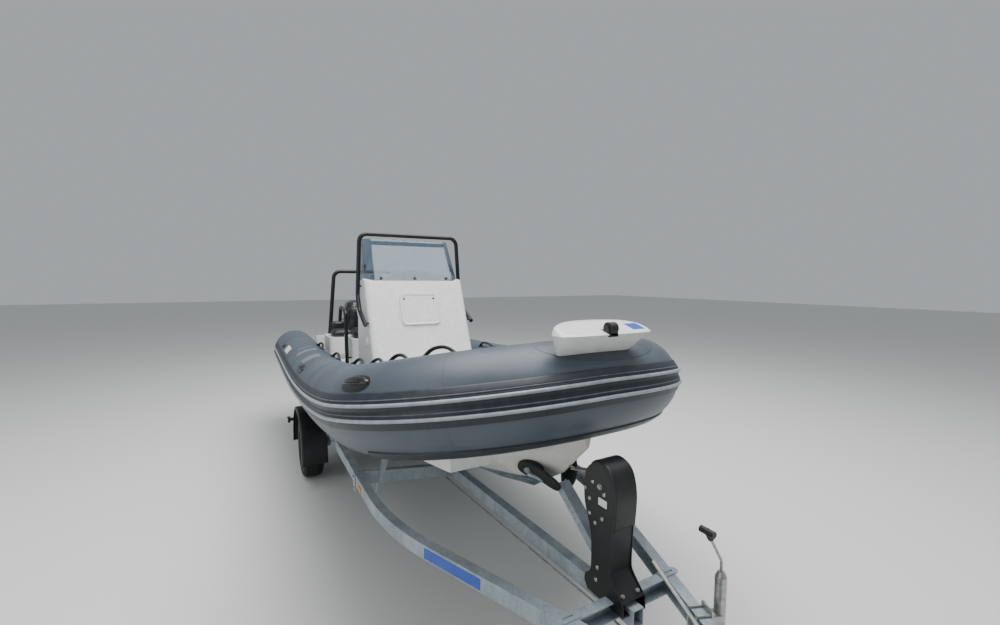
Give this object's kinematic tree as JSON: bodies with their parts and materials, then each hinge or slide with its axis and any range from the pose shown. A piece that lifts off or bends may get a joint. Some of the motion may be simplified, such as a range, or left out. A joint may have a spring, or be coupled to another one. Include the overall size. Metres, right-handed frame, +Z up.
{
  "type": "rigid inflatable boat on a road trailer",
  "caption": "Grey rigid inflatable boat with centre console, helm seat, stern arch and tilting outboard, lying on a galvanised braked road trailer with winch post and jockey wheel.",
  "frame": {"origin": "on the ground under the middle of the whole outfit, on its centreline", "axes": "+X to the bow and the tow coupling, +Y to port, +Z up"},
  "size_m": [6.9, 2.2064, 2.379],
  "materials": {
    "galvanised": "hot-dip galvanised steel, matt grey with spangle",
    "zinc": "bright zinc plated steel",
    "post_black": "glossy black powder coat",
    "collar_fabric": "slate grey coated fabric, satin",
    "strake_rubber": "black moulded rubber",
    "ridge_rubber": "light grey moulded rubber",
    "gelcoat": "white gelcoat on glass fibre laminate",
    "black_rubber": "black rubber",
    "black_plastic": "black moulded plastic, textured",
    "tube_black": "black powder-coated tube",
    "tyre": "road tyre rubber",
    "rim_silver": "silver lacquered pressed steel",
    "leatherette": "black marine leatherette",
    "acrylic": "smoke blue bent acrylic",
    "engine_paint": "dark grey engine enamel",
    "cowl_gloss": "glossy dark cowl",
    "bunk_carpet": "dark carpet over timber",
    "webbing": "woven polyester webbing",
    "lamp_lens": "red and amber lamp lenses",
    "stainless": "polished stainless steel",
    "aluminium_prop": "cast aluminium, satin"
  },
  "bodies": {
    "root": {"side_rails": "galvanised", "centre_beam": "galvanised", "crossmembers": "galvanised", "frame_brackets": "galvanised", "keel_rollers": "black_rubber", "roller_forks": "galvanised", "bunks": "bunk_carpet", "support_posts": "galvanised", "support_pads": "black_rubber", "axle": "galvanised", "mudguards": "black_plastic", "lamp_bar": "galvanised", "lamps": "lamp_lens", "overrun_housing": "galvanised", "draw_bellows": "black_rubber", "coupling_head": "zinc", "brake_linkage": "zinc", "jockey_clamp": "zinc", "jockey_tube": "zinc", "crank_grip": "black_plastic", "winch_post": "post_black", "winch_cover": "black_plastic", "winch_strap": "webbing", "stem_support": "galvanised", "bow_eye": "stainless", "collar": "collar_fabric", "strakes": "strake_rubber", "strake_ridges": "ridge_rubber", "hull": "gelcoat", "deck": "gelcoat", "console": "gelcoat", "dash_panel": "black_plastic", "windscreen": "acrylic", "console_rail": "tube_black", "seat_bases": "gelcoat", "seat_cushions": "leatherette", "seat_rails": "tube_black", "stern_arch": "tube_black", "bow_locker": "gelcoat", "bow_step": "gelcoat", "bow_roller": "black_rubber", "grab_handles": "black_rubber", "engine_clamp": "engine_paint"},
    "wheel_starboard": {"tyre_starboard": "tyre", "rim_starboard": "rim_silver", "hub_starboard": "zinc"},
    "wheel_port": {"tyre_port": "tyre", "rim_port": "rim_silver", "hub_port": "zinc"},
    "jockey_slide": {"jockey_inner": "zinc"},
    "jockey_castor": {"jockey_fork": "zinc"},
    "jockey_roll": {"jockey_wheel": "black_rubber"},
    "helm": {"steering_wheel": "black_plastic"},
    "engine_mount": {"engine_swivel": "engine_paint"},
    "engine": {"engine_leg": "engine_paint", "engine_cowl": "cowl_gloss"},
    "prop": {"propeller": "aluminium_prop"},
    "hatch": {"console_hatch": "gelcoat"},
    "locker_lid": {"bow_locker_lid": "gelcoat"}
  },
  "joints": [
    {"name": "road_wheel_starboard", "type": "hinge", "parent": "root", "child": "wheel_starboard", "pos_m": [-1.26, -0.883, 0.2945], "axis": [0, 1, 0], "continuous": true},
    {"name": "road_wheel_port", "type": "hinge", "parent": "root", "child": "wheel_port", "pos_m": [-1.26, 0.883, 0.2945], "axis": [0, 1, 0], "continuous": true},
    {"name": "jockey_height", "type": "slide", "parent": "root", "child": "jockey_slide", "axis": [0, 0, 1], "range_m": [0, 0.12]},
    {"name": "jockey_swivel", "type": "hinge", "parent": "jockey_slide", "child": "jockey_castor", "pos_m": [2.37221, 0.29122, 0.25], "axis": [0, 0, 1], "continuous": true},
    {"name": "jockey_spin", "type": "hinge", "parent": "jockey_castor", "child": "jockey_roll", "pos_m": [2.32421, 0.29122, 0.1], "axis": [0, 1, 0], "continuous": true},
    {"name": "engine_tilt", "type": "hinge", "parent": "root", "child": "engine_mount", "pos_m": [-3.035, 0, 1.215], "axis": [0, 1, 0], "range_deg": [0, 60]},
    {"name": "engine_steer", "type": "hinge", "parent": "engine_mount", "child": "engine", "pos_m": [-3.112, 0, 1.1], "axis": [0, 0, 1], "range_deg": [-30, 30]},
    {"name": "propeller_spin", "type": "hinge", "parent": "engine", "child": "prop", "pos_m": [-3.3473, 0, 0.56], "axis": [1, 0, 0], "continuous": true},
    {"name": "helm_turn", "type": "hinge", "parent": "root", "child": "helm", "pos_m": [-0.99605, -0.215, 1.80069], "axis": [0.8358, 0, -0.5491], "range_deg": [-545, 545]},
    {"name": "console_hatch_hinge", "type": "hinge", "parent": "root", "child": "hatch", "pos_m": [-0.57291, 0, 1.81749], "axis": [0, -1, 0], "range_deg": [0, 100]},
    {"name": "bow_locker_hinge", "type": "hinge", "parent": "root", "child": "locker_lid", "pos_m": [1.289, 0, 1.207], "axis": [0, 1, 0], "range_deg": [0, 80]}
  ],
  "couplings": [
    {"joint": "helm_turn", "follows": "engine_steer", "ratio": 18}
  ]
}
